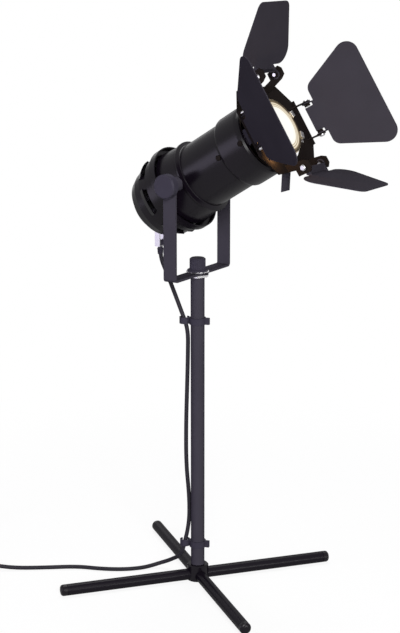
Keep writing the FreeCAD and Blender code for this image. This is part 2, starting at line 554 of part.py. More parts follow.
pocket(bracket, "YZ_Plane", [("0.5 * pin_spacing", "0", "holder_hole"), ("-0.5 * pin_spacing", "0", "holder_hole")],
       "6 * bracket_thickness", web_rear)
pocket(bracket, "XZ_Plane", [("can_screw_station", "0", "can_screw_shank + fit_gap")])
on_head(bracket)

# ---- barn-door frame: an octagonal plate with two folded flanges and eight hinge ears
frame = new_body("barn_frame")
plate_front = "plate_station + plate_thickness"
octagon = [("plate_end_flat", "plate_end_half"), ("plate_side_half", "plate_side_flat"),
           ("plate_side_half", "-1 * plate_side_flat"), ("plate_end_flat", "-1 * plate_end_half"),
           ("-1 * plate_end_flat", "-1 * plate_end_half"), ("-1 * plate_side_half", "-1 * plate_side_flat"),
           ("-1 * plate_side_half", "plate_side_flat"), ("-1 * plate_end_flat", "plate_end_half")]
pad(frame, "YZ_Plane", [octagon, ("0", "0", "plate_hole")], "plate_thickness", "plate_station")
for low, high in (("plate_side_half - plate_thickness", "plate_side_half"),
                  ("-1 * plate_side_half", "plate_thickness - plate_side_half")):
    pad(frame, "YZ_Plane", [[(low, "-1 * plate_side_flat"), (high, "-1 * plate_side_flat"),
                             (high, "plate_side_flat"), (low, "plate_side_flat")]], "flange_rise", "plate_station")


def side_ear(side):
    """Ear in a plane along the optical axis: root on the plate, round end about the hinge axis."""
    knuckle = [("-1.15", "-0.94"), ("-0.95", "0"), ("-0.7", "0.7"), ("0", "1"), ("0.7", "0.7"), ("1", "0"),
               ("0.7", "-0.7"), ("0", "-1")]
    outline = [("plate_station", "plate_side_half - 7.4"), ("plate_station", "plate_side_half - 0.2")]
    outline += [("side_axis_station + " + x + " * ear_radius", "side_axis_offset + " + y + " * ear_radius")
                for x, y in knuckle]
    return [(x, side + " * ( " + y + " )") for x, y in outline]


def end_ear(side):
    """Square-ended ear: root on the plate, corners just inside the sweep of the leaf's shoulders."""
    corners = [("-0.95", "-0.22"), ("-0.92", "0.59"), ("0.65", "0.76"), ("0.97", "0.34"), ("0.95", "-0.4"),
               ("0.4", "-0.74")]
    outline = [("plate_station", "plate_end_half - 6.5"), ("plate_station", "plate_end_half - 0.2")]
    outline += [("end_axis_station + " + x + " * end_shoulder", "end_axis_offset + " + y + " * end_shoulder")
                for x, y in corners]
    return [(x, side + " * ( " + y + " )") for x, y in outline]


ear_back = "ear_plane + ear_thickness"
for side in ("1", "-1"):
    for low in ("ear_plane", "-1 * ( " + ear_back + " )"):
        pad(frame, "XY_Plane", [side_ear(side)], "ear_thickness", low)
    for low in ("ear_plane", "-1 * ( " + ear_back + " )"):
        pad(frame, "XZ_Plane", [end_ear(side)], "ear_thickness", low)
hinge_hole = "hinge_screw_radius + hinge_hole_gap"
pocket(frame, "XY_Plane", [("side_axis_station", "side_axis_offset", hinge_hole),
                           ("side_axis_station", "-1 * side_axis_offset", hinge_hole)],
       "2 * ( " + ear_back + " + 1 )")
pocket(frame, "XZ_Plane", [("end_axis_station", "end_axis_offset", hinge_hole),
                           ("end_axis_station", "-1 * end_axis_offset", hinge_hole)],
       "2 * ( " + ear_back + " + 1 )")
on_head(frame)

# ---- straps that carry the frame from inside the collar, and the spring latch below
strap_profile = [
    ("strap_rear", "strap_inner"), ("collar_front + 0.4", "strap_inner"), ("collar_front + 3", "strap_outer"),
    ("collar_front + 7", "strap_outer + 0.6"), ("plate_station - strap_thickness", "strap_seat + 1"),
    ("plate_station - strap_thickness", "plate_side_half - 3"), ("plate_station", "plate_side_half - 3"),
    ("plate_station", "strap_seat"), ("collar_front + 7.8", "strap_outer - 0.4"),
    ("collar_front + 3.6", "strap_outer - strap_thickness"),
    ("collar_front + 1", "strap_inner - strap_thickness"), ("strap_rear", "strap_inner - strap_thickness")]
for label, side in (("frame_strap_left", "1"), ("frame_strap_right", "-1")):
    strap = new_body(label)
    pad(strap, "XY_Plane", [[(x, side + " * ( " + y + " )") for x, y in strap_profile]],
        "strap_width", "strap_middle - 0.5 * strap_width")
    pocket(strap, "XZ_Plane", [("collar_screw_station", "0", "can_screw_shank + fit_gap")])
    on_head(strap)

latch_back = "plate_station - latch_thickness"
latch_run = [("plate_station", "-36.5"), ("plate_station", "-30.2"), ("plate_station - 8.4", "-32.6"),
             ("plate_station - 18.2", "-46.9"), ("plate_station - 17.5", "-47.3"),
             ("plate_station - 7.9", "-33.4"), (latch_back, "-31.4"), (latch_back, "-36.5")]
latch = new_body("spring_latch")
pad(latch, "XZ_Plane", [latch_run], "latch_width", "-0.5 * latch_width")
on_head(latch)

# ---- four leaves, each drawn flat about its own hinge: X along the leaf, Y along the hinge, Z outward
ear_start = "ear_plane - ear_gap - leaf_ear"
nut_start = ear_start + " - ear_gap - hinge_nut"


def leaf_body(label, kind):
    """A leaf with a neck between the frame's ears, sloping shoulders and two ears about the hinge axis."""
    leaf = new_body(label)
    neck = "ear_plane - ear_gap"
    lift = kind + "_lift"
    top = lift + " + leaf_thickness"
    half = [(kind + "_shoulder", neck), (kind + "_shoulder", kind + "_shoulder_half"),
            (kind + "_length", kind + "_free_half")]
    if kind == "side":
        # the blade reaches back past the hinge axis between the nuts
        half = [("-1 * side_neck", nut_start + " - 0.6"), ("ear_radius + 0.2", nut_start + " - 0.6"),
                ("ear_radius + 0.2", neck)] + half
        behind_axis = [("-1 * side_neck", top), ("-0.95 * ear_radius", "0.35 * ear_radius")]
    else:
        half = [("end_neck", neck)] + half
        behind_axis = [("end_neck", top), ("end_neck", lift), ("-0.8 * ear_radius", "0.6 * ear_radius")]
    outline = half + [(x, "-1 * ( " + y + " )") for x, y in reversed(half)]
    pad(leaf, "XY_Plane", [outline], "leaf_thickness", lift)
    for name in ("_shoulder", "_free"):
        wide = size(kind + name + "_half")
        fillet(leaf, kind + name + "_round", lambda edge: runs_along(edge, Vector(0, 0, 1))
               and abs(abs(edge.CenterOfMass.y) - wide) < 0.01)
    ear = [("-1 * ear_radius", "0"), ("-0.7 * ear_radius", "-0.7 * ear_radius"), ("0", "-1 * ear_radius"),
           ("0.7 * ear_radius", "-0.7 * ear_radius"), ("ear_radius", "0"),
           (kind + "_shoulder + 1", lift), (kind + "_shoulder + 1", top)] + behind_axis
    for low in (ear_start, "-1 * ( " + neck + " )"):
        pad(leaf, "XZ_Plane", [ear], "leaf_ear", low)
    if kind == "end":
        # a folded flange joins the two ears in front of the nuts
        fold = "end_neck + leaf_ear"
        pad(leaf, "XZ_Plane", [[("end_neck", "-1 * end_fold"), (fold, "-1 * end_fold"), (fold, lift),
                                ("end_neck", lift)]], "2 * ( " + neck + " )", "-1 * ( " + neck + " )")
    pocket(leaf, "XZ_Plane", [("0", "0", hinge_hole)])
    return keep(leaf)


def hinge(side, kind, about):
    """The hinge's place on the head, seen with the leaf pointing forward."""
    out = Rotation(Vector(1, 0, 0), about)
    centre = Vector(size(kind + "_axis_station"), 0, 0) + out.multVec(Vector(0, 0, size(kind + "_axis_offset")))
    return head.multiply(Placement(centre, out))


HINGES = {
    "leaf_left": hinge("left", "side", -90), "leaf_right": hinge("right", "side", 90),
    "leaf_top": hinge("top", "end", 0), "leaf_bottom": hinge("bottom", "end", 180)}
for label, kind in (("leaf_left", "side"), ("leaf_right", "side"), ("leaf_top", "end"), ("leaf_bottom", "end")):
    leaf = leaf_body(label, kind)
    opened = size(label[5:] + "_leaf_open")
    leaf.Placement = HINGES[label].multiply(Placement(Vector(), Rotation(Vector(0, 1, 0), -opened)))

hinge_screw = cap_screw("hinge_screw", "hinge_head_radius", "hinge_head", "hinge_screw_radius",
                        ear_back + " - ( " + nut_start + " )")
hinge_nut = new_body("hinge_nut")
pad(hinge_nut, "XY_Plane", [[("%s * hinge_nut_corner" % x, "%s * hinge_nut_corner" % y) for x, y in hexagon],
                            ("0", "0", "hinge_screw_radius + fit_gap")], "hinge_nut")
screw_places = []
nut_places = []
for place in HINGES.values():
    for turn in (-90, 90):
        outward = Placement(Vector(), Rotation(Vector(1, 0, 0), turn))
        screw_places.append(place.multiply(outward).multiply(Placement(Vector(0, 0, size(ear_back)), Rotation())))
        nut_places.append(place.multiply(outward).multiply(
            Placement(Vector(0, 0, size(nut_start)), Rotation())))
repeated("hinge_screws", hinge_screw, screw_places)
repeated("hinge_nuts", hinge_nut, nut_places)

# ---- cord clips: a band on the pole with an open hook to one side and a lug opposite
for label, low in (("cord_clip_lower", "clip_lower"), ("cord_clip_upper", "clip_upper")):
    clip = new_body(label)
    band = "pole_radius + clip_wall"
    pad(clip, "XY_Plane", [("0", "0", band)], "clip_height", low)
    pad(clip, "XY_Plane", [[("-1 * lug_reach", "-0.5 * lug_width"), ("0", "-0.5 * lug_width"),
                            ("0", "0.5 * lug_width"), ("-1 * lug_reach", "0.5 * lug_width")]], "clip_height", low)
    pad(clip, "XY_Plane", [("hook_centre", "0", "hook_inner + hook_wall")], "clip_height", low)
    pad(clip, "XY_Plane", [[("0", "-0.5 * lug_width"), ("hook_centre - hook_inner", "-0.5 * lug_width"),
                            ("hook_centre - hook_inner", "0.5 * lug_width"), ("0", "0.5 * lug_width")]],
        "clip_height", low)
    pocket(clip, "XY_Plane", [("hook_centre", "0", "hook_inner")])
    pocket(clip, "XY_Plane", [("0", "0", "pole_radius + fit_gap")])
    pocket(clip, "XY_Plane", [[("hook_centre - 0.5 * hook_mouth", "-1 * hook_inner - 3"),
                               ("hook_centre + hook_inner + 3", "-1 * hook_inner - 3"),
                               ("hook_centre + hook_inner + 3", "0.5 * hook_mouth - hook_inner"),
                               ("hook_centre - 0.5 * hook_mouth", "0.5 * hook_mouth - hook_inner")]])
    clip.Placement = Placement(Vector(), Rotation(Vector(0, 0, 1), 1))
    clip.setExpression("Placement.Rotation.Angle", bound("clip_turn"))
    keep(clip)

# ---- strain relief: a strap hanging from the rear cap, with a bush at its foot
upright = head.multiply(Placement(
    Vector(-size("gland_station"), 0, -size("gland_drop")), Rotation(Vector(0, 1, 0), size("head_tilt"))))
leg_gap = size("strap_leg")
wall = size("shell_wall")
deep = size("strap_depth")
fall = size("strap_fall")
doc.recompute()
blank = Part.makeBox(deep, 2 * leg_gap + 2 * wall, fall + 10, Vector(-deep / 2, -leg_gap - wall, -fall))
blank = blank.cut(Part.makeBox(deep, 2 * leg_gap, fall + 10, Vector(-deep / 2, -leg_gap, wall - fall)))
blank = blank.cut(Part.makeCylinder(size("bush_radius + fit_gap - 0.9"), 3 * wall, Vector(0, 0, -fall - wall)))
blank = blank.transformed(upright.toMatrix()).cut(housing.Shape)
strap = doc.addObject("Part::Feature", "cord_strap")
strap.Label = "cord_strap"
strap.Shape = min(blank.Solids, key=lambda solid: solid.BoundBox.ZMin)
keep(strap)
bush_high = size("bush_below") + size("bush_length") * 0.72
bush = turned("cord_bush", "V_Axis", [
    ("0", "-1 * strap_fall - bush_below"), ("cord_radius + 0.4", "-1 * strap_fall - bush_below"),
    ("bush_radius - 0.9", "-1 * strap_fall"), ("bush_radius - 0.9", "shell_wall - strap_fall"),
    ("bush_radius", "shell_wall - strap_fall"), ("bush_radius", "bush_length - bush_below - strap_fall"),
    ("0", "bush_length - bush_below - strap_fall")])
bush.Placement = upright
keep(bush)

# ---- the lead: straight runs and tangent arcs, from the bush down the pole and out along the surface
# Points are across the pole's hook side, away from it, and up; they stay as chosen.
radius = size("cord_radius")


def smooth_path(name, points):
    """A wire through the points, each corner eased by the largest arc that its runs leave room for."""
    points = [Vector(*point) for point in points]
    edges = []
    radii = []
    start = points[0]
    for before, corner, after in zip(points, points[1:], points[2:]):
        back = (before - corner).normalize()
        ahead = (after - corner).normalize()
        turn = math.pi - back.getAngle(ahead)
        reach = 0.45 * min((before - corner).Length, (after - corner).Length)
        radii.append(reach / math.tan(turn / 2))
        first = corner + back * reach
        last = corner + ahead * reach
        bisector = (back + ahead).normalize()
        centre = corner + bisector * (radii[-1] / math.cos(turn / 2))
        middle = centre - bisector * radii[-1]
        edges.append(Part.LineSegment(start, first).toShape())
        edges.append(Part.Arc(first, middle, last).toShape())
        start = last
    edges.append(Part.LineSegment(start, points[-1]).toShape())
    print(name, "radii", " ".join("%.0f" % value for value in radii))
    return Part.Wire(edges)


def cord_run(label, points):
    wire = smooth_path(label, points)
    heading = (Vector(*points[1]) - Vector(*points[0])).normalize()
    section = Part.Wire([Part.makeCircle(radius, Vector(*points[0]), heading)])
    run = doc.addObject("Part::Feature", label)
    run.Label = label
    run.Shape = wire.makePipeShell([section], True, False)
    print(label, "length %.1f" % wire.Length, "volume ratio %.4f"
          % (run.Shape.Volume / (math.pi * radius ** 2 * wire.Length)))
    return keep(run)


hook = Vector(-11.1, -3.4, size("clip_upper + 3"))
foot_hook = Vector(-11.3, -3.5, size("clip_lower + 2.9"))
drop = hook.z - foot_hook.z
slack = hook + Vector(-20.5, 2.9, 39.2)
middle = hook + Vector(-15.15, 2, 29.5)
past_middle = middle + (middle - slack).normalize() * 10
past_hook = hook + (hook - past_middle).normalize() * 8.5
above_foot = foot_hook + Vector(2, 1.9, 11.6)
past_foot = foot_hook + (foot_hook - above_foot).normalize() * 8.5
exit_point = upright.multVec(Vector(0, 0, -size("strap_fall + bush_below")))
# the slack below the bush is in two pieces: the upper gives as the head tilts, the lower as the yoke pans
cord_run("cord_head_lead", [tuple(exit_point), (exit_point.x, 0, exit_point.z - 8), tuple(slack), tuple(middle)])
cord_run("cord_drop_lead", [tuple(middle), tuple(past_middle), tuple(hook)])
down_pole = [(-8.2, -2.6, 0.862), (-8.9, -2.8, 0.7236), (-9.9, -3.3, 0.536), (-9.9, -3.2, 0.3583),
             (-8.6, -0.6, 0.2201), (-8.4, -0.3, 0.1214)]
cord_run("cord_pole_run", [tuple(hook), tuple(past_hook)]
         + [(x, y, foot_hook.z + share * drop) for x, y, share in down_pole]
         + [tuple(above_foot), tuple(foot_hook)])

floor_z = radius + 0.25
# Beyond the legs the lead goes on in a frame of its own: along the surface, and to one side.
reach_out = Vector(-0.842, -0.539, 0)
aside = Vector(-0.539, 0.842, 0)
corner = Vector(-160, -83, 0)
switch_entry = 7
plug_entry = 6.85


def outside(along, across, height):
    """A point on the surface beyond the legs."""
    point = corner + reach_out * along + aside * across
    return (point.x, point.y, height)


cord_run("cord_floor_run", [
    tuple(foot_hook), tuple(past_foot), (-18.6, -2.2, 17.6), (-27, 3, 12.2), (-35.2, 5.2, 7.2),
    (-42.6, 3.2, 4), (-47.6, -3.2, 2.5), (-52.2, -10.6, floor_z), (-60, -19.4, floor_z), (-70.5, -27, floor_z),
    (-84, -33.6, floor_z),
    (-104, -40.2, floor_z), (-126, -57.5, floor_z), outside(-18, 2.2, floor_z), outside(-2, 1.2, 4),
    outside(12, 0.6, switch_entry), outside(26, 0.6, switch_entry)])

# inline switch: a rounded two-part body with a rocker across its top
switch_place = Placement(corner + reach_out * 26 + aside * 0.6, Rotation(Vector(0, 0, 1), 212.63))
switch = new_body("switch_body")
pad(switch, "XY_Plane", [[("0", "-5"), ("7", "-11"), ("48", "-11"), ("55", "-5"), ("55", "5"), ("48", "11"),
                          ("7", "11"), ("0", "5")]], "14")
fillet(switch, "5", lambda edge: runs_along(edge, Vector(0, 0, 1)))
fillet(switch, "1.5", lambda edge: abs(edge.CenterOfMass.z - 14) < 0.01)
pocket(switch, "XY_Plane", [[("17.5", "-6"), ("37.5", "-6"), ("37.5", "6"), ("17.5", "6")]], "12", "14")
switch.Placement = switch_place
keep(switch)
rocker = new_body("switch_rocker")
pad(rocker, "XZ_Plane", [[("-9.2", "1.6"), ("-9.2", "-1"), ("0", "-3.4"), ("9.2", "-1"), ("9.2", "1.6"),
                          ("0", "0.7")]], "11.2", "-5.6")
rocker.Placement = switch_place.multiply(Placement(Vector(27.5, 0, 14), Rotation(Vector(0, 1, 0), 6)))
keep(rocker)
cord_run("cord_switch_lead", [
    outside(81, 0.6, switch_entry), outside(90, 0.6, switch_entry), outside(99.5, 3.6, 5),
    outside(107, 11, 3), outside(110.4, 22, floor_z), outside(110.4, 33, floor_z)])

# coil: the outer shape of the wound lead, with a short straight end at each tangent
coil_mean = 21.4
coil_half = 5.4
coil_tall = 10.8
wound = coil_mean + coil_half - radius - 0.3
centre = corner + reach_out * (110.4 - wound) + aside * 48
coil_shape = Part.makeCylinder(coil_mean + coil_half, coil_tall, centre + Vector(0, 0, 0.1))
coil_shape = coil_shape.cut(Part.makeCylinder(coil_mean - coil_half, 3 * coil_tall, centre - Vector(0, 0, coil_tall)))
rims = [edge for edge in coil_shape.Edges if edge.Curve.TypeId == "Part::GeomCircle" and edge.isClosed()]
coil_shape = coil_shape.makeFillet(1.7, rims)
entry = centre + reach_out * wound + aside * -15 + Vector(0, 0, floor_z)
leave = centre + aside * wound + reach_out * -15 + Vector(0, 0, floor_z)
lead_ends = [Part.makeCylinder(radius, 16, entry, aside), Part.makeCylinder(radius, 16, leave, reach_out)]
coil_shape = coil_shape.fuse(lead_ends)
coil = doc.addObject("Part::Feature", "cord_coil")
coil.Label = "cord_coil"
coil.Shape = coil_shape
keep(coil)
cord_run("cord_plug_lead", [
    tuple(leave), outside(62.5, 48 + wound, floor_z), outside(54, 52 + wound, 3.2),
    outside(49.2, 60 + wound, 5.2), outside(48, 69 + wound, plug_entry), outside(48, 78 + wound, plug_entry)])

# flat two-pin plug
plug_place = Placement(corner + reach_out * 48 + aside * (78 + wound), Rotation(Vector(0, 0, 1), 122.63))
plug = new_body("plug_body")
pad(plug, "XY_Plane", [[("0", "-4"), ("9", "-5"), ("18", "-13"), ("33", "-17.5"), ("36", "-17.5"), ("36", "17.5"),
                        ("33", "17.5"), ("18", "13"), ("9", "5"), ("0", "4")]], "13.7")
fillet(plug, "1.5", lambda edge: runs_along(edge, Vector(0, 0, 1)) and edge.CenterOfMass.x > 8)
plug.Placement = plug_place
keep(plug)
pins = [Part.makeCylinder(2, 19, Vector(36, side * 9.3, plug_entry), Vector(1, 0, 0)) for side in (-1, 1)]
plug_pins = doc.addObject("Part::Feature", "plug_pins")
plug_pins.Label = "plug_pins"
plug_pins.Shape = Part.makeCompound([pin_rod.transformed(plug_place.toMatrix()) for pin_rod in pins])
keep(plug_pins)

# ---- nothing is written unless every feature solved and every piece is a sound solid
doc.recompute()
for item in doc.Objects:
    if "Invalid" in item.State or "Error" in item.State:
        raise RuntimeError("%s did not solve: %s" % (item.Label, item.State))
for item in parts:
    if item.Shape.isNull() or not item.Shape.isValid() or not item.Shape.Solids:
        raise RuntimeError("%s is not a sound solid" % item.Label)
os.makedirs("parts", exist_ok=True)
for item in parts:
    item.Shape.exportStep("parts/%s.step" % item.Label)
print(len(parts), "pieces written")
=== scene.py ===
import math
import bmesh
import bpy
import numpy as np
from mathutils import Matrix, Vector


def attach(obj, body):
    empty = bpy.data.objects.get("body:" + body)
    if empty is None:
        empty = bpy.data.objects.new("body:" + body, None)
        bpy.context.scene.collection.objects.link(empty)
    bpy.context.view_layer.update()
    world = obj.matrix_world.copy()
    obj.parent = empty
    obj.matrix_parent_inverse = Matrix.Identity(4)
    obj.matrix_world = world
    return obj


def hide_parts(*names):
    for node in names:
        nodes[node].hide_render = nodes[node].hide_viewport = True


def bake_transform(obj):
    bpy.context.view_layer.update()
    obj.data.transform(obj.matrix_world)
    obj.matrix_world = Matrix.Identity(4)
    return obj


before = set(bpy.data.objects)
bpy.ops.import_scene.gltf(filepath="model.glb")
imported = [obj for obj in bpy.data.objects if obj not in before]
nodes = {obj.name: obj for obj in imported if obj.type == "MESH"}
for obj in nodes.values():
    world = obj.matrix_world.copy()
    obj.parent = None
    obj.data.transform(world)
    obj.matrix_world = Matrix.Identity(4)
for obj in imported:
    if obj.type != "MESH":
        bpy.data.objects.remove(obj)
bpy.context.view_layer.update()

mm = 0.001
headTilt = math.radians(31.8)  # the head's tilt at rest
tiltHeight = 0.358  # of the axis it tilts about, in metres
headTurn = Matrix.Translation((0, 0, tiltHeight)) @ Matrix.Rotation(-headTilt, 4, "Y")


def addObject(name, data):
    item = bpy.data.objects.new(name, data)
    bpy.context.collection.objects.link(item)
    return item


# a long lens, a little above the lamp, looking slightly down
view = {"place": (0.7149, -1.1171, 0.5587), "ahead": (-0.5228, 0.8197, -0.2340), "lens": 143.55, "sensor": 36,
        "farthest": 20}
cameraData = bpy.data.cameras.new("viewCamera")
cameraData.lens = view["lens"]
cameraData.sensor_width = view["sensor"]
cameraData.sensor_fit = "HORIZONTAL"
cameraData.clip_end = view["farthest"]
camera = addObject("viewCamera", cameraData)
camera.location = view["place"]
camera.rotation_euler = Vector(view["ahead"]).to_track_quat("-Z", "Y").to_euler()
bpy.context.scene.camera = camera
bpy.context.scene.view_settings.view_transform = "Standard"
print("camera placed")


def linear(code):  # sRGB hex to linear red, green, blue and a full alpha
    parts = [int(code[i:i + 2], 16) / 255 for i in (0, 2, 4)]
    return tuple(c / 12.92 if c <= 0.04045 else ((c + 0.055) / 1.055) ** 2.4 for c in parts) + (1,)


def setNode(tree, node, settings=None, links=None):  # a node's settings, and what feeds its sockets
    for name, value in (settings or {}).items():
        if isinstance(name, int) or name in node.inputs:
            node.inputs[name].default_value = value
        else:
            setattr(node, name, value)
    for name, source in (links or {}).items():
        tree.links.new(source, node.inputs[name])
    return node


def addNode(tree, kind, settings=None, links=None):
    return setNode(tree, tree.nodes.new(kind), settings, links)


def newMaterial(name):
    material = bpy.data.materials.new(name)
    material.use_nodes = True
    tree = material.node_tree
    shader = tree.nodes["Principled BSDF"]
    position = addNode(tree, "ShaderNodeTexCoord")
    return material, tree, shader, position.outputs["Object"]


# Finishes. Clouds, wavers, specks and ripples are counted per metre. A grain and a bump's depth are in
# millimetres, and "coarser" draws a grain that many times larger than it is, so that it shows. A roughness
# goes from its lowest to its highest.
satin = {"colour": "3d3a43", "lighter": "44414a", "clouds": 38, "roughness": (0.57, 0.69), "grain": 0.45,
         "coarser": 2.2, "bump": 0.5, "depth": 0.06, "coat": 0.015, "coatRoughness": 0.27, "ior": 1.5}
enamel = dict(satin, colour="0c080f", lighter="110c14", roughness=(0.45, 0.57), grain=0.6, bump=0.25,
              coat=0.33)
thick = dict(enamel, colour="120e15", lighter="17131b", coat=0.18)
# a darker, brownish copy of the enamel: painted shade for the barn frame, its hinge nuts and the can's screws
shaded = dict(enamel, colour="1c1817", lighter="211c1b", coat=0.02)
# a darker copy of the satin coat for the four leaves: painted shade, for the leaf that faces away from the
# light
leafShadeCoat = dict(satin, colour="37343b", lighter="3d3a42")


def paintedSteel(name, settings):
    # powder coat on steel: deep black with a soft sheen and an orange-peel skin
    material, tree, shader, where = newMaterial(name)
    peel = addNode(tree, "ShaderNodeTexNoise", {"Scale": 1000 / settings["grain"] / settings["coarser"],
                                                "Detail": 3}, {"Vector": where})
    cloud = addNode(tree, "ShaderNodeTexNoise", {"Scale": settings["clouds"], "Detail": 2},
                    {"Vector": where})
    tint = addNode(tree, "ShaderNodeMix", {"data_type": "RGBA", "A": linear(settings["colour"]),
                                           "B": linear(settings["lighter"])},
                   {"Factor": cloud.outputs["Fac"]})
    low, high = settings["roughness"]
    dull = addNode(tree, "ShaderNodeMapRange", {"To Min": low, "To Max": high},
                   {"Value": peel.outputs["Fac"]})
    bump = addNode(tree, "ShaderNodeBump", {"Strength": settings["bump"], "Distance": settings["depth"] * mm},
                   {"Height": peel.outputs["Fac"]})
    # all its gloss is a thin skin of clear resin floated to the top
    setNode(tree, shader, {"IOR": settings["ior"], "Specular IOR Level": 0, "Coat Weight": settings["coat"],
                           "Coat Roughness": settings["coatRoughness"]},
            {"Base Color": tint.outputs["Result"], "Roughness": dull.outputs["Result"],
             "Normal": bump.outputs["Normal"]})
    return material


zinc = {"colour": "c4c3c4", "shade": "8e8d90", "clouds": 700, "roughness": (0.22, 0.42)}
dullZinc = dict(zinc, colour="b0afb0", shade="86858a")
brightZinc = dict(zinc, colour="fbf9f6", shade="eae8e4")
brass = dict(zinc, colour="d8cda6", shade="b5a67c", roughness=(0.17, 0.37))
# the reflector's silver is tinted warm beige and darkened: a painted reflection of the warm lit lamp
mirror = dict(zinc, colour="c9b999", shade="a08f70", roughness=(0.12, 0.32))


def platedMetal(name, settings):
    # a thin bright plate over metal or glass: silvery, with small clouds where it is duller
    material, tree, shader, where = newMaterial(name)
    cloud = addNode(tree, "ShaderNodeTexNoise", {"Scale": settings["clouds"], "Detail": 4},
                    {"Vector": where})
    tint = addNode(tree, "ShaderNodeMix", {"data_type": "RGBA", "A": linear(settings["shade"]),
                                           "B": linear(settings["colour"])},
                   {"Factor": cloud.outputs["Fac"]})
    low, high = settings["roughness"]
    dull = addNode(tree, "ShaderNodeMapRange", {"To Min": low, "To Max": high},
                   {"Value": cloud.outputs["Fac"]})
    setNode(tree, shader, {"Metallic": 1}, {"Base Color": tint.outputs["Result"],
                                            "Roughness": dull.outputs["Result"]})
    return material


moulded = {"colour": "37343f", "lighter": "3d3a46", "clouds": 90, "roughness": (0.46, 0.58), "grain": 0.35,
           "coarser": 2, "bump": 0.35, "depth": 0.04, "coat": 0.1, "coatRoughness": 0.4, "ior": 1.5}


def mouldedPlastic(name, settings):
    # injection-moulded nylon: a flat black with a fine spark-eroded grain and faint flow clouds
    material, tree, shader, where = newMaterial(name)
    grain = addNode(tree, "ShaderNodeTexNoise", {"Scale": 1000 / settings["grain"] / settings["coarser"],
                                                 "Detail": 2}, {"Vector": where})
    cloud = addNode(tree, "ShaderNodeTexNoise", {"Scale": settings["clouds"], "Detail": 2},
                    {"Vector": where})
    tint = addNode(tree, "ShaderNodeMix", {"data_type": "RGBA", "A": linear(settings["colour"]),
                                           "B": linear(settings["lighter"])},
                   {"Factor": cloud.outputs["Fac"]})
    low, high = settings["roughness"]
    dull = addNode(tree, "ShaderNodeMapRange", {"To Min": low, "To Max": high},
                   {"Value": grain.outputs["Fac"]})
    bump = addNode(tree, "ShaderNodeBump", {"Strength": settings["bump"], "Distance": settings["depth"] * mm},
                   {"Height": grain.outputs["Fac"]})
    setNode(tree, shader, {"IOR": settings["ior"], "Specular IOR Level": 0, "Coat Weight": settings["coat"],
                           "Coat Roughness": settings["coatRoughness"]},
            {"Base Color": tint.outputs["Result"], "Roughness": dull.outputs["Result"],
             "Normal": bump.outputs["Normal"]})
    return material


sheath = {"colour": "2d2b31", "lighter": "333137", "wavers": 120, "roughness": (0.32, 0.46), "coat": 0.1,
          "coatRoughness": 0.38, "ior": 1.53}


def pvcSheath(name, settings):
    # extruded PVC flex: smooth black with a slow waver in its gloss and in its shade
    material, tree, shader, where = newMaterial(name)
    waver = addNode(tree, "ShaderNodeTexNoise", {"Scale": settings["wavers"], "Detail": 2},
                    {"Vector": where})
    tint = addNode(tree, "ShaderNodeMix", {"data_type": "RGBA", "A": linear(settings["colour"]),
                                           "B": linear(settings["lighter"])},
                   {"Factor": waver.outputs["Fac"]})
    low, high = settings["roughness"]
    dull = addNode(tree, "ShaderNodeMapRange", {"To Min": low, "To Max": high},
                   {"Value": waver.outputs["Fac"]})
    setNode(tree, shader, {"IOR": settings["ior"], "Specular IOR Level": 0, "Coat Weight": settings["coat"],
                           "Coat Roughness": settings["coatRoughness"]},
            {"Base Color": tint.outputs["Result"], "Roughness": dull.outputs["Result"]})
    return material


steatite = {"colour": "cfc9bb", "lighter": "e9e5da", "specks": 900, "roughness": 0.4}


def glazedCeramic(name, settings):
    # steatite lampholder: off-white, half glazed, with faint specks
    material, tree, shader, where = newMaterial(name)
    speck = addNode(tree, "ShaderNodeTexNoise", {"Scale": settings["specks"], "Detail": 5},
                    {"Vector": where})
    tint = addNode(tree, "ShaderNodeMix", {"data_type": "RGBA", "A": linear(settings["colour"]),
                                           "B": linear(settings["lighter"])},
                   {"Factor": speck.outputs["Fac"]})
    setNode(tree, shader, {"Roughness": settings["roughness"]}, {"Base Color": tint.outputs["Result"]})
    return material


# The lamp is lit: its glass is near white, with rings towards the rim where the light turns to straw.
# Each stop: the share of the glass's radius, and the colour it glows with there.
lampLight = {"radius": 0.0226, "unlit": "30302e", "ripples": 500, "roughness": (0.08, 0.2), "gloss": 0.1,
             "stops": [(0, "fffdf6"), (0.6, "fffefa"), (0.76, "fffaee"), (0.79, "b8a47c"), (0.83, "fff8e6"),
                       (0.87, "9f8a64"), (0.91, "fdf0d6"), (0.96, "6f5e44")]}


def litGlass(name, settings):
    # pressed front glass over a lit capsule: rings seen as thin straw lines near its edge
    material, tree, shader, where = newMaterial(name)
    place = addNode(tree, "ShaderNodeMapping", {"vector_type": "TEXTURE", "Location": (0, 0, tiltHeight),
                                                "Rotation": (0, -headTilt, 0)}, {"Vector": where})
    # the distance from the lamp's axis: across and up, without the station along it
    flat = addNode(tree, "ShaderNodeVectorMath", {"operation": "MULTIPLY", 1: (0, 1, 1)},
                   {0: place.outputs["Vector"]})
    reach = addNode(tree, "ShaderNodeVectorMath", {"operation": "LENGTH"}, {0: flat.outputs["Vector"]})
    share = addNode(tree, "ShaderNodeMapRange", {"From Max": settings["radius"]},
                    {"Value": reach.outputs["Value"]})
    rings = addNode(tree, "ShaderNodeValToRGB", {}, {"Fac": share.outputs["Result"]})
    stops = rings.color_ramp.elements
    while len(stops) < len(settings["stops"]):
        stops.new(0.5)
    for stop, (at, colour) in zip(stops, settings["stops"]):
        stop.position = at
        stop.color = linear(colour)
    ripple = addNode(tree, "ShaderNodeTexNoise", {"Scale": settings["ripples"], "Detail": 2},
                     {"Vector": where})
    low, high = settings["roughness"]
    dull = addNode(tree, "ShaderNodeMapRange", {"To Min": low, "To Max": high},
                   {"Value": ripple.outputs["Fac"]})
    setNode(tree, shader, {"Base Color": linear(settings["unlit"]), "Specular IOR Level": settings["gloss"],
                           "Emission Strength": 1},
            {"Emission Color": rings.outputs["Color"], "Roughness": dull.outputs["Result"]})
    return material


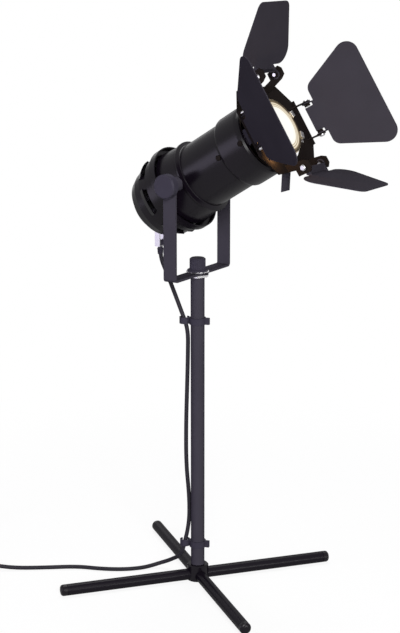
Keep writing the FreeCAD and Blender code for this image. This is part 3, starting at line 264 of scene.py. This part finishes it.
satinPaint = paintedSteel("satinPowderCoat", satin)
glossPaint = paintedSteel("smoothPowderCoat", enamel)
legPaint = paintedSteel("thickGlossPowderCoat", thick)
shadeDarkPaint = paintedSteel("paintedShadeBlackPaint", shaded)
leafShadedPaint = paintedSteel("leafPowderCoatPaintedShade", leafShadeCoat)
zincMetal = platedMetal("zincPlatedSteel", zinc)
strapZinc = platedMetal("dullZincPlate", dullZinc)
clipZinc = platedMetal("polishedZincPlate", brightZinc)
brassPin = platedMetal("platedBrass", brass)
silver = platedMetal("aluminisedGlassPaintedWarmLight", mirror)
nylon = mouldedPlastic("mouldedNylon", moulded)
flex = pvcSheath("pvcFlex", sheath)
ceramic = glazedCeramic("steatiteCeramic", steatite)
glowing = litGlass("litPressedGlass", lampLight)
print("materials made")

# The lead: one smooth NURBS line per stretch. Its points are in millimetres.
# Beyond the legs it has a frame of its own: out along the surface from a corner, and to one side.
lead = {"diameter": 0.0036, "floor": 2.05, "switchHeight": 7, "plugHeight": 6.85, "bevel": 5, "smooth": 8}
outAxis = np.array((-0.842, -0.539, 0))
sideAxis = np.array((-0.539, 0.842, 0))
beyond = np.array((-160, -83, 0))


def outside(along, across, height):
    point = beyond + outAxis * along + sideAxis * across
    return (point[0], point[1], height)


def past(before, point, distance):  # further along the line from one point to the next
    ahead = point - before
    return point + ahead / np.linalg.norm(ahead) * distance


def nurbsLine(name, points, radius):
    curve = bpy.data.curves.new(name, "CURVE")
    curve.dimensions = "3D"
    curve.bevel_depth = radius
    curve.bevel_resolution = lead["bevel"]
    curve.use_fill_caps = radius > 0
    spline = curve.splines.new("NURBS")
    spline.points.add(len(points) - 1)
    spline.points.foreach_set("co", np.hstack([np.array(points) * mm, np.ones((len(points), 1))]).ravel())
    spline.use_endpoint_u = True
    spline.order_u = 3
    spline.resolution_u = lead["smooth"]
    curve.materials.append(flex)
    return addObject(name, curve)


def tracedLine(points):
    # the points along the NURBS line that the route's points control, and its length, both in metres
    probe = nurbsLine("probe", points, 0)
    mesh = bpy.data.meshes.new_from_object(probe)
    place = np.zeros(len(mesh.vertices) * 3)
    mesh.vertices.foreach_get("co", place)
    place = place.reshape(-1, 3)
    bpy.data.objects.remove(probe)
    return place, float(np.linalg.norm(np.diff(place, axis=0), axis=1).sum())


floorZ = lead["floor"]
switchZ = lead["switchHeight"]
plugZ = lead["plugHeight"]
glandExit = np.array((-37.964, 0, 295.163))
hook = np.array((-11.1, -3.4, 236))  # in the upper clip
slack = hook + (-20.5, 2.9, 39.2)
middle = hook + (-15.15, 2, 29.5)
pastMiddle = past(slack, middle, 10)
pastHook = past(pastMiddle, hook, 8.5)
footHook = np.array((-11.3, -3.5, 33.4))  # in the lower clip
aboveFoot = np.array((-9.3, -1.6, 45))
pastFoot = past(aboveFoot, footHook, 8.5)
switchExit = outside(81, 0.6, switchZ)

headRoute = [glandExit, (-37.964, 0, 287.163), slack, middle]
dropRoute = [middle, pastMiddle, hook]
poleRoute = [hook, pastHook, (-8.2, -2.6, 208), (-8.9, -2.8, 180), (-9.9, -3.3, 142), (-9.9, -3.2, 106),
             (-8.6, -0.6, 78), (-8.4, -0.3, 58), aboveFoot, footHook, pastFoot, (-18.6, -2.2, 17.6),
             (-27, 3, 12.2), (-35.2, 5.2, 7.2), (-42.6, 3.2, 4), (-47.6, -3.2, 2.5), (-52.2, -10.6, floorZ),
             (-60, -19.4, floorZ), (-70.5, -27, floorZ), (-84, -33.6, floorZ), (-104, -40.2, floorZ),
             (-126, -57.5, floorZ), outside(-18, 2.2, floorZ), outside(-2, 1.2, 4), outside(12, 0.6, switchZ),
             outside(26, 0.6, switchZ)]

# The coil: nine lanes, three wide and three high. Each turn steps over to the next lane, a little earlier
# when the lane after it turns a corner, so that no two turns meet by more than a tenth of a millimetre.
# Angles are in degrees.
coil = {"centre": (85.7, 48), "radius": 21.02, "laneWidth": 3.68, "between": 22.5, "turned": 2970,
        "easing": 40,
        "lanes": [(0, 0), (1, 0), (2, 0), (2, 1), (2, 2), (1, 2), (1, 1), (0, 1), (0, 2)],
        "steps": [335, 695, 1010, 1370, 1685, 2000, 2315, 2630],
        "pullIn": 0.981}  # a quadratic spline runs inside its points by the cosine of half their step


def coilTurns(settings):
    # every point lies at its turn's angle, at the radius and height of its lane, and an S-shaped step
    # carries it from one lane to the next
    lanes = settings["lanes"]
    easing = settings["easing"]
    turned = np.arange(0, settings["turned"] + 1, settings["between"])
    laneAcross = np.full(len(turned), float(lanes[0][0]))
    laneUp = np.full(len(turned), float(lanes[0][1]))
    for step, before, after in zip(settings["steps"], lanes, lanes[1:]):
        share = np.clip((turned - step + easing / 2) / easing, 0, 1)
        share = share * share * (3 - 2 * share)
        laneAcross += share * (after[0] - before[0])
        laneUp += share * (after[1] - before[1])
    reach = (settings["radius"] + settings["laneWidth"] * (1 - laneAcross)) / settings["pullIn"]
    along, across = settings["centre"]
    return [outside(along + r * math.cos(a), across + r * math.sin(a), floorZ + settings["laneWidth"] * up)
            for r, a, up in zip(reach, np.radians(turned), laneUp)]


lastUp = floorZ + 2 * coil["laneWidth"]
coilRoute = [switchExit, outside(90, 0.6, switchZ), outside(99.5, 3.6, 5), outside(107, 11, 3),
             outside(110.4, 22, floorZ), outside(110.4, 33, floorZ)]
coilRoute += coilTurns(coil)[:-1]
coilRoute += [outside(84, 74.4, lastUp), outside(78, 75.9, 8.3), outside(70.5, 77, 5),
              outside(63.5, 77.6, 2.8), outside(57.4, 78.9, 2.6), outside(52.3, 82.4, 3.1),
              outside(49, 88, 4.6), outside(48.1, 94.6, 6.2), outside(48, 102.7, plugZ)]

headPath, headLength = tracedLine(headRoute)
dropPath, dropLength = tracedLine(dropRoute)
poleLength = tracedLine(poleRoute)[1]
coilLength = tracedLine(coilRoute)[1]
print("lead lengths", round(headLength, 4), round(dropLength, 4), round(poleLength, 4), round(coilLength, 4))

leadRadius = lead["diameter"] / 2
leadPole = nurbsLine("leadPole", poleRoute, leadRadius)
leadCoil = nurbsLine("leadCoil", coilRoute, leadRadius)
around = 24  # points in each ring of a tube


def ringMesh(name, rings, material):
    # a closed tube: each face joins two neighbours of a ring to the same two of the next, with a flat face at
    # either end
    count = len(rings)
    row, column = np.meshgrid(np.arange(count - 1), np.arange(around), indexing="ij")
    following = (column + 1) % around
    faces = np.stack([row * around + column, row * around + following, (row + 1) * around + following,
                      (row + 1) * around + column], -1).reshape(-1, 4).tolist()
    faces += [list(range(around - 1, -1, -1)), list(range((count - 1) * around, count * around))]
    mesh = bpy.data.meshes.new(name)
    mesh.from_pydata(rings.reshape(-1, 3).tolist(), [], faces)
    mesh.shade_smooth()
    mesh.materials.append(material)
    return addObject(name, mesh)


def ringsAlong(path, ahead, radius):
    # a ring square to the line at each of its points: the point plus the radius times the cosine of the turn
    # across, and times its sine over
    across = np.cross(ahead, (0.3, 1, 0))
    across /= np.linalg.norm(across, axis=1)[:, None]
    over = np.cross(ahead, across)
    turns = np.linspace(0, 2 * math.pi, around, endpoint=False)[None, :, None]
    return path[:, None] + radius * (np.cos(turns) * across[:, None] + np.sin(turns) * over[:, None])


def leadTube(name, path):
    # a mesh tube along the points of a smooth line
    ahead = np.gradient(path, axis=0)
    ahead /= np.linalg.norm(ahead, axis=1)[:, None]
    return ringMesh(name, ringsAlong(path, ahead, leadRadius), flex)


leadHead = leadTube("leadHead", headPath)
leadDrop = leadTube("leadDrop", dropPath)
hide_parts("cord_head_lead")
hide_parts("cord_drop_lead")
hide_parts("cord_pole_run", "cord_floor_run")
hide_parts("cord_switch_lead", "cord_coil", "cord_plug_lead")
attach(leadPole, "base")
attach(leadCoil, "base")
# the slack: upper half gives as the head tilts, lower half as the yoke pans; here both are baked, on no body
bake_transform(leadHead)
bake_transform(leadDrop)
print("lead laid")

# Strain reliefs: moulded sleeves where the lead leaves the head, the switch and the plug. Each one: the body
# it rides on, where it starts, where it points, its length and its wide radius, in millimetres.
reliefs = {
    "reliefHead": ("head", glandExit, (0, 0, -1), 5, 2.8),
    "reliefSwitchIn": ("base", outside(26.3, 0.6, switchZ), -outAxis, 9.3, 3.6),
    "reliefSwitchOut": ("base", outside(80.7, 0.6, switchZ), outAxis, 7.3, 3.6),
    "reliefPlug": ("base", outside(48, 103, plugZ), -sideAxis, 7, 3.4),
}
sleeve = {"narrow": 2.35, "grooves": 4, "depth": 0.3, "groovedBelow": -0.5, "rings": 41}


def strainRelief(name, start, toward, length, wide):
    # the sleeve's radius falls evenly along it, less a shallow groove wherever a sine wave is low
    share = np.linspace(0, 1, sleeve["rings"])
    path = np.array(start) + np.outer(share * length, toward)
    grooved = np.sin(2 * math.pi * sleeve["grooves"] * share) < sleeve["groovedBelow"]
    radius = wide + (sleeve["narrow"] - wide) * share - sleeve["depth"] * grooved
    ahead = np.repeat(np.array([toward], float), len(share), axis=0)
    return ringMesh(name, ringsAlong(path * mm, ahead, radius[:, None, None] * mm), nylon)


for name, (body, start, toward, length, wide) in reliefs.items():
    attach(strainRelief(name, start, toward, length, wide), body)
print("strain reliefs made")

# Four bent spring clips on the frame's plate reach over the lamp's rim. Each is one strip: its line gives the
# distance from the axis and the station along it, in millimetres, and its turn is in degrees from the top.
clips = {"line": [(33, 89.45), (29.6, 89.45), (28.4, 90.4), (28, 94), (27.2, 94.9), (23.6, 94.95)],
         "width": 5, "thickness": 1, "turns": (72.4, 115.4, -72.4, -115.4), "rounding": 0.12}


def springClips(name, settings):
    # the line, thickened along its own square direction, makes a closed outline, which is carried across the
    # strip's width and then turned about the head's axis, once for each turn
    line = np.array(settings["line"], float)
    ahead = np.gradient(line, axis=0)
    ahead /= np.linalg.norm(ahead, axis=1)[:, None]
    square = np.stack([-ahead[:, 1], ahead[:, 0]], 1) * settings["thickness"] / 2
    loop = np.vstack([line + square, (line - square)[::-1]])
    turn = np.radians(settings["turns"])[:, None, None]
    shift = np.array((-0.5, 0.5))[:, None] * settings["width"]
    far, station = loop.T
    across = far * np.sin(turn) + shift * np.cos(turn)
    up = far * np.cos(turn) - shift * np.sin(turn)
    points = np.stack([np.broadcast_to(station, across.shape), across, up], -1).reshape(-1, 3) * mm
    turned = np.array(headTurn)
    points = points @ turned[:3, :3].T + turned[:3, 3]
    # the faces of one clip: a band round the outline, and quads across it on either side
    count = len(loop)
    edge = np.arange(count)
    following = (edge + 1) % count
    band = np.stack([edge, following, count + following, count + edge], 1)
    near = np.arange(len(line) - 1)
    side = np.stack([near, near + 1, count - 2 - near, count - 1 - near], 1)
    sides = np.stack([side[:, ::-1], side + count], 1).reshape(-1, 4)
    first = np.arange(len(settings["turns"]))[:, None, None] * 2 * count
    faces = (np.vstack([band, sides]) + first).reshape(-1, 4)
    mesh = bpy.data.meshes.new(name)
    mesh.from_pydata(points.tolist(), [], faces.tolist())
    mesh.materials.append(clipZinc)
    shape = bmesh.new()
    shape.from_mesh(mesh)
    bmesh.ops.recalc_face_normals(shape, faces=shape.faces)
    shape.to_mesh(mesh)
    shape.free()
    piece = addObject(name, mesh)
    bevel = piece.modifiers.new("rounded", "BEVEL")
    bevel.width = settings["rounding"] * mm
    bevel.segments = 2
    return piece


lampClips = springClips("lampClips", clips)
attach(lampClips, "head")
print("lamp clips made")

# the finishes of the pieces that stay as they are
finishes = {
    satinPaint: ["pole_tube", "pole_spacer_ring", "yoke_bracket", "tilt_bosses", "frame_strap_left",
                 "frame_strap_right", "spring_latch", "can_bulkhead", "housing_posts", "holder_bracket"],
    # painted shade: the leaves get a darker copy of the satin coat
    leafShadedPaint: ["leaf_left", "leaf_right", "leaf_top", "leaf_bottom"],
    glossPaint: ["base_hub", "leg_end_caps", "lamp_can", "front_collar", "rear_housing"],
    legPaint: ["leg_left_front", "leg_left_rear", "leg_right_rear", "leg_right_front"],
    # painted shade: a darker copy of the enamel on the barn frame, hinge nuts and can screws
    shadeDarkPaint: ["barn_frame", "hinge_nuts", "can_screws"],
    zincMetal: ["pole_inserts", "pole_foot_screw", "pole_top_stud", "yoke_jam_nut", "yoke_star_washer",
                "tilt_studs", "tilt_knob_washers", "hinge_screws", "lamp_pins"],
    strapZinc: ["cord_strap"],
    nylon: ["yoke_finial_nut", "tilt_knob_left", "tilt_knob_right", "cord_clip_lower", "cord_clip_upper",
            "cord_bush", "switch_body", "switch_rocker", "plug_body"],
    brassPin: ["plug_pins"],
    ceramic: ["lamp_holder"],
    # painted warm reflection: the reflector's silver carries a beige tint
    silver: ["lamp_reflector"],
    glowing: ["lamp_front_glass"],
}
for material, names in finishes.items():
    for name in names:
        mesh = nodes[name].data
        mesh.materials.clear()
        mesh.materials.append(material)
print("finishes given")

# Floor, backdrop and light. Near the object the paper takes its shadow and glows to the camera by just enough
# to be white. It turns to plain white between the two distances of "clear", in metres.
studio = {"world": 0.025, "floorHalf": 6, "floorColour": 0.15, "floorGlow": 0.87, "clear": (0.25, 0.6),
          "aim": (0, 0, 0.25), "white": (1, 1, 1, 1)}


def whiteRays(tree):
    # 1 for the rays that show a background: straight from the camera, mirrored or through glass
    rays = addNode(tree, "ShaderNodeLightPath").outputs
    either = addNode(tree, "ShaderNodeMath", {"operation": "MAXIMUM"},
                     {0: rays["Is Camera Ray"], 1: rays["Is Glossy Ray"]})
    anyRay = addNode(tree, "ShaderNodeMath", {"operation": "MAXIMUM"},
                     {0: either.outputs["Value"], 1: rays["Is Transmission Ray"]})
    return anyRay.outputs["Value"]


world = bpy.data.worlds.new("studio")
bpy.context.scene.world = world
world.use_nodes = True
tree = world.node_tree
soft = setNode(tree, tree.nodes["Background"], {"Color": studio["white"], "Strength": studio["world"]})
white = addNode(tree, "ShaderNodeBackground", {"Color": studio["white"], "Strength": 1})
seen = addNode(tree, "ShaderNodeMixShader", {}, {"Fac": whiteRays(tree), 1: soft.outputs["Background"],
                                                 2: white.outputs["Background"]})
tree.links.new(seen.outputs["Shader"], tree.nodes["World Output"].inputs["Surface"])

half = studio["floorHalf"]
floorMesh = bpy.data.meshes.new("studioFloor")
corners = [(-half, -half, 0), (half, -half, 0), (half, half, 0), (-half, half, 0)]
floorMesh.from_pydata(corners, [], [(0, 1, 2, 3)])
floor = addObject("studioFloor", floorMesh)
floorMaterial, tree, shader, where = newMaterial("paperSweep")
tree.nodes.remove(shader)
reach = addNode(tree, "ShaderNodeVectorMath", {"operation": "LENGTH"}, {0: where})
near, far = studio["clear"]
clear = addNode(tree, "ShaderNodeMapRange", {"interpolation_type": "SMOOTHSTEP", "From Min": near,
                                             "From Max": far}, {"Value": reach.outputs["Value"]})
paper = addNode(tree, "ShaderNodeBsdfDiffuse", {"Color": (studio["floorColour"],) * 3 + (1,)})
glow = addNode(tree, "ShaderNodeEmission", {"Strength": studio["floorGlow"]})
plain = addNode(tree, "ShaderNodeEmission", {"Strength": 1})
lit = addNode(tree, "ShaderNodeAddShader", {}, {0: paper.outputs["BSDF"], 1: glow.outputs["Emission"]})
further = addNode(tree, "ShaderNodeMixShader", {}, {"Fac": clear.outputs["Result"], 1: lit.outputs["Shader"],
                                                    2: plain.outputs["Emission"]})
shown = addNode(tree, "ShaderNodeMixShader", {}, {"Fac": whiteRays(tree), 1: paper.outputs["BSDF"],
                                                  2: further.outputs["Shader"]})
tree.links.new(shown.outputs["Shader"], tree.nodes["Material Output"].inputs["Surface"])
floorMesh.materials.append(floorMaterial)

# each light: where it stands, how wide it is, its power in watts and its colour
lights = {
    "keyLight": ((1.2, -1.4, 0.95), 0.9, 37, "ffffff"),
    "topLight": ((-0.35, 0.55, 1.5), 0.9, 12, "ffffff"),
    "leftLight": ((-1.2, 0.9, 0.5), 0.6, 1.5, "ffffff"),
    "lowLight": ((1.5, -0.55, 0.16), 0.4, 5, "ffffff"),
    "sideLight": ((-0.9, -1.2, 0.28), 0.8, 7, "e9e0ff"),
}
# Lamp light that leaks out beside the lens and warms the plate behind leaf_right. Each leak: its place in the
# head, in millimetres, and its power in watts.
leaks = {"colour": "ffcb84", "radius": 0.001,
         "places": [((92.6, -30, -22.5), 0.022), ((91.5, -39, -9), 0.012)]}


def addLight(name, kind, place, power, colour):
    data = bpy.data.lights.new(name, kind)
    data.energy = power
    data.color = linear(colour)[:3]
    light = addObject(name, data)
    light.location = place
    return light


for name, (place, width, power, colour) in lights.items():
    light = addLight(name, "AREA", place, power, colour)
    light.data.size = width
    light.rotation_euler = (Vector(studio["aim"]) - Vector(place)).to_track_quat("-Z", "Y").to_euler()
for place, power in leaks["places"]:
    light = addLight("lampLeak", "POINT", headTurn @ (Vector(place) * mm), power, leaks["colour"])
    light.data.shadow_soft_size = leaks["radius"]
    light.visible_camera = False
    light.visible_glossy = False
print("studio ready")
